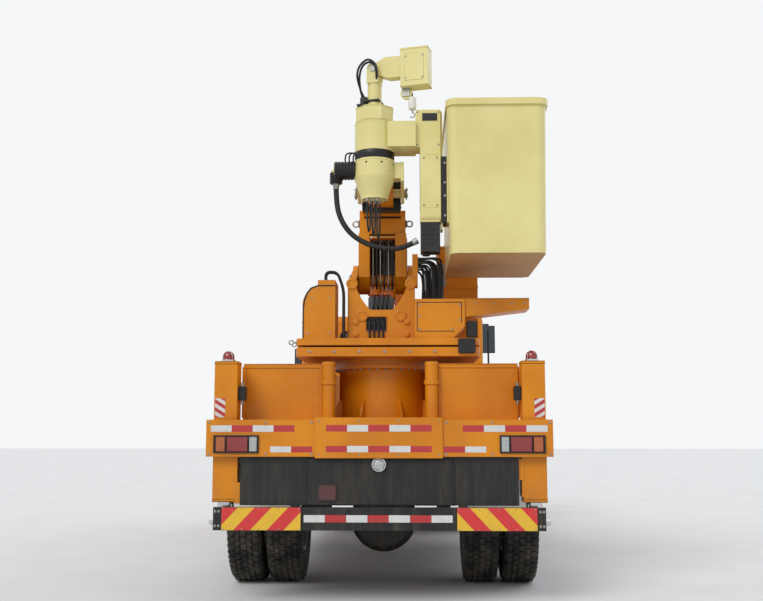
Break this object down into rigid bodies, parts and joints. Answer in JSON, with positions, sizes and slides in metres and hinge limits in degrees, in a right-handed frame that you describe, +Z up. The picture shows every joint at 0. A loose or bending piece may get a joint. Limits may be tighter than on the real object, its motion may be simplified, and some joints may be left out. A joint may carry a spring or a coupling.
{
  "type": "articulated aerial bucket truck",
  "caption": "Two-axle cab-over truck with a folding insulated boom, side basket, lifting jib and four outriggers, parked with the boom stowed over the cab.",
  "frame": {"origin": "on the ground, below the middle of the whole truck with its boom stowed", "axes": "+Y forward towards the cab, +X to the truck's right, +Z up"},
  "size_m": [2.83, 8, 4.085],
  "materials": {
    "orange_paint": "gloss machine enamel",
    "black_paint": "satin chassis paint",
    "cream_glassfibre": "gelcoat",
    "chrome_rod": "hard chrome",
    "tyre_rubber": "rubber",
    "rim_steel": "silver paint",
    "clear_glass": "tinted",
    "black_plastic": "grained",
    "lamp_lens": "clear and red lens",
    "hose_rubber": "matt rubber"
  },
  "bodies": {
    "chassis": {"chassis_frame": "black_paint", "leaf_springs": "black_paint", "front_axle": "black_paint", "rear_axle": "black_paint", "driveline": "black_paint", "cab_shell": "orange_paint", "cab_glass": "clear_glass", "cab_interior": "black_plastic", "front_bumper": "black_plastic", "grille": "black_plastic", "lamps": "lamp_lens", "mirrors": "black_plastic", "side_tanks": "black_paint", "side_guards": "black_paint", "deck": "orange_paint", "lockers": "orange_paint", "rear_bar": "black_paint", "pedestal": "orange_paint", "boom_rest": "orange_paint"},
    "turntable": {"turret": "orange_paint", "turret_boxes": "orange_paint", "valve_hoses": "hose_rubber"},
    "lift_barrel": {"lift_barrel": "black_paint"},
    "lift_rod": {"lift_rod": "chrome_rod"},
    "lower_boom": {"lower_boom": "orange_paint", "boom_lugs": "orange_paint"},
    "elbow_link": {"elbow_link": "black_paint"},
    "upper_boom": {"upper_boom": "orange_paint", "insulated_boom": "cream_glassfibre"},
    "tip": {"tip_bracket": "black_paint", "tip_hose": "hose_rubber"},
    "swing_head": {"swing_head": "cream_glassfibre"},
    "basket": {"basket_carriage": "cream_glassfibre", "basket": "cream_glassfibre"},
    "jib_mast": {"jib_mast": "cream_glassfibre"},
    "jib_arm": {"jib_arm": "cream_glassfibre"},
    "knuckle_left": {"knuckle_left": "black_paint"},
    "front_wheel_left": {"front_tyre_left": "tyre_rubber", "front_rim_left": "rim_steel"},
    "rear_wheels_left": {"rear_tyres_left": "tyre_rubber", "rear_rims_left": "rim_steel"},
    "door_left": {"door_left": "orange_paint", "door_glass_left": "clear_glass"},
    "locker_door_left": {"locker_door_left": "orange_paint"},
    "rear_outrigger_left": {"rear_outrigger_left": "orange_paint"},
    "rear_jack_left": {"rear_jack_left": "chrome_rod"},
    "front_outrigger_left": {"front_outrigger_left": "orange_paint"},
    "front_jack_left": {"front_jack_left": "chrome_rod"},
    "knuckle_right": {"knuckle_right": "black_paint"},
    "front_wheel_right": {"front_tyre_right": "tyre_rubber", "front_rim_right": "rim_steel"},
    "rear_wheels_right": {"rear_tyres_right": "tyre_rubber", "rear_rims_right": "rim_steel"},
    "door_right": {"door_right": "orange_paint", "door_glass_right": "clear_glass"},
    "locker_door_right": {"locker_door_right": "orange_paint"},
    "rear_outrigger_right": {"rear_outrigger_right": "orange_paint"},
    "rear_jack_right": {"rear_jack_right": "chrome_rod"},
    "front_outrigger_right": {"front_outrigger_right": "orange_paint"},
    "front_jack_right": {"front_jack_right": "chrome_rod"}
  },
  "joints": [
    {"name": "steer_left", "type": "hinge", "parent": "chassis", "child": "knuckle_left", "pos_m": [-0.85, 1.88, 0.51], "axis": [0, 0, 1], "range_deg": [-35, 35]},
    {"name": "front_wheel_left_spin", "type": "hinge", "parent": "knuckle_left", "child": "front_wheel_left", "pos_m": [-0.985, 1.88, 0.51], "axis": [-1, 0, 0], "continuous": true},
    {"name": "rear_wheels_left_spin", "type": "hinge", "parent": "chassis", "child": "rear_wheels_left", "pos_m": [-1.091, -2.62, 0.51], "axis": [-1, 0, 0], "continuous": true},
    {"name": "door_left_hinge", "type": "hinge", "parent": "chassis", "child": "door_left", "pos_m": [-1.109, 2.969, 1.5], "axis": [0, 0, -1], "range_deg": [0, 70]},
    {"name": "locker_door_left_hinge", "type": "hinge", "parent": "chassis", "child": "locker_door_left", "pos_m": [-1.0323, -2.525, 1.312], "axis": [0, -1, 0], "range_deg": [0, 90]},
    {"name": "rear_outrigger_left_slide", "type": "slide", "parent": "chassis", "child": "rear_outrigger_left", "axis": [-1, 0, 0], "range_m": [0, 1.1]},
    {"name": "rear_jack_left_slide", "type": "slide", "parent": "rear_outrigger_left", "child": "rear_jack_left", "axis": [0, 0, -1], "range_m": [0, 0.55]},
    {"name": "front_outrigger_left_slide", "type": "slide", "parent": "chassis", "child": "front_outrigger_left", "axis": [-1, 0, 0], "range_m": [0, 1.1]},
    {"name": "front_jack_left_slide", "type": "slide", "parent": "front_outrigger_left", "child": "front_jack_left", "axis": [0, 0, -1], "range_m": [0, 0.55]},
    {"name": "steer_right", "type": "hinge", "parent": "chassis", "child": "knuckle_right", "pos_m": [0.85, 1.88, 0.51], "axis": [0, 0, 1], "range_deg": [-35, 35]},
    {"name": "front_wheel_right_spin", "type": "hinge", "parent": "knuckle_right", "child": "front_wheel_right", "pos_m": [0.985, 1.88, 0.51], "axis": [-1, 0, 0], "continuous": true},
    {"name": "rear_wheels_right_spin", "type": "hinge", "parent": "chassis", "child": "rear_wheels_right", "pos_m": [1.091, -2.62, 0.51], "axis": [-1, 0, 0], "continuous": true},
    {"name": "door_right_hinge", "type": "hinge", "parent": "chassis", "child": "door_right", "pos_m": [1.109, 2.969, 1.5], "axis": [0, 0, 1], "range_deg": [0, 70]},
    {"name": "locker_door_right_hinge", "type": "hinge", "parent": "chassis", "child": "locker_door_right", "pos_m": [1.0323, -2.525, 1.312], "axis": [0, 1, 0], "range_deg": [0, 90]},
    {"name": "rear_outrigger_right_slide", "type": "slide", "parent": "chassis", "child": "rear_outrigger_right", "axis": [1, 0, 0], "range_m": [0, 1.1]},
    {"name": "rear_jack_right_slide", "type": "slide", "parent": "rear_outrigger_right", "child": "rear_jack_right", "axis": [0, 0, -1], "range_m": [0, 0.55]},
    {"name": "front_outrigger_right_slide", "type": "slide", "parent": "chassis", "child": "front_outrigger_right", "axis": [1, 0, 0], "range_m": [0, 1.1]},
    {"name": "front_jack_right_slide", "type": "slide", "parent": "front_outrigger_right", "child": "front_jack_right", "axis": [0, 0, -1], "range_m": [0, 0.55]},
    {"name": "slew", "type": "hinge", "parent": "chassis", "child": "turntable", "pos_m": [0, -3, 1.774], "axis": [0, 0, 1], "continuous": true},
    {"name": "lower_boom_raise", "type": "hinge", "parent": "turntable", "child": "lower_boom", "pos_m": [0, -2.9, 2.45], "axis": [1, 0, 0], "range_deg": [0, 80]},
    {"name": "lift_barrel_swing", "type": "hinge", "parent": "turntable", "child": "lift_barrel", "pos_m": [0, -2.5, 2.12], "axis": [1, 0, 0], "range_deg": [0, 77.17]},
    {"name": "lift_rod_slide", "type": "slide", "parent": "lift_barrel", "child": "lift_rod", "axis": [0, 0.9523, 0.3053], "range_m": [0, 0.66333]},
    {"name": "elbow_link_level", "type": "hinge", "parent": "lower_boom", "child": "elbow_link", "pos_m": [0, 3.815, 3.2837], "axis": [-1, 0, 0], "range_deg": [0, 80]},
    {"name": "upper_boom_raise", "type": "hinge", "parent": "elbow_link", "child": "upper_boom", "pos_m": [0, 3.815, 3.2837], "axis": [-1, 0, 0], "range_deg": [0, 110]},
    {"name": "tip_level", "type": "hinge", "parent": "upper_boom", "child": "tip", "pos_m": [0, -3.40746, 3.06845], "axis": [1, 0, 0], "range_deg": [0, 110]},
    {"name": "basket_swing", "type": "hinge", "parent": "tip", "child": "swing_head", "pos_m": [-0.04, -3.73746, 3.2373], "axis": [0, 0, -1], "range_deg": [0, 120]},
    {"name": "basket_lift", "type": "slide", "parent": "swing_head", "child": "basket", "axis": [0, 0, 1], "range_m": [0, 0.6]},
    {"name": "jib_swing", "type": "hinge", "parent": "swing_head", "child": "jib_mast", "pos_m": [-0.04, -3.73746, 3.5233], "axis": [0, 0, 1], "range_deg": [-60, 180]},
    {"name": "jib_luff", "type": "hinge", "parent": "jib_mast", "child": "jib_arm", "pos_m": [-0.04, -3.73746, 3.95], "axis": [-0.2588, -0.9659, 0], "range_deg": [0, 55]}
  ],
  "couplings": [
    {"joint": "steer_right", "follows": "steer_left", "ratio": 1},
    {"joint": "lift_barrel_swing", "follows": "lower_boom_raise", "ratio": 0.96463},
    {"joint": "lift_rod_slide", "follows": "lower_boom_raise", "m_per_rad": 0.47508},
    {"joint": "elbow_link_level", "follows": "lower_boom_raise", "ratio": 1},
    {"joint": "tip_level", "follows": "upper_boom_raise", "ratio": 1}
  ]
}
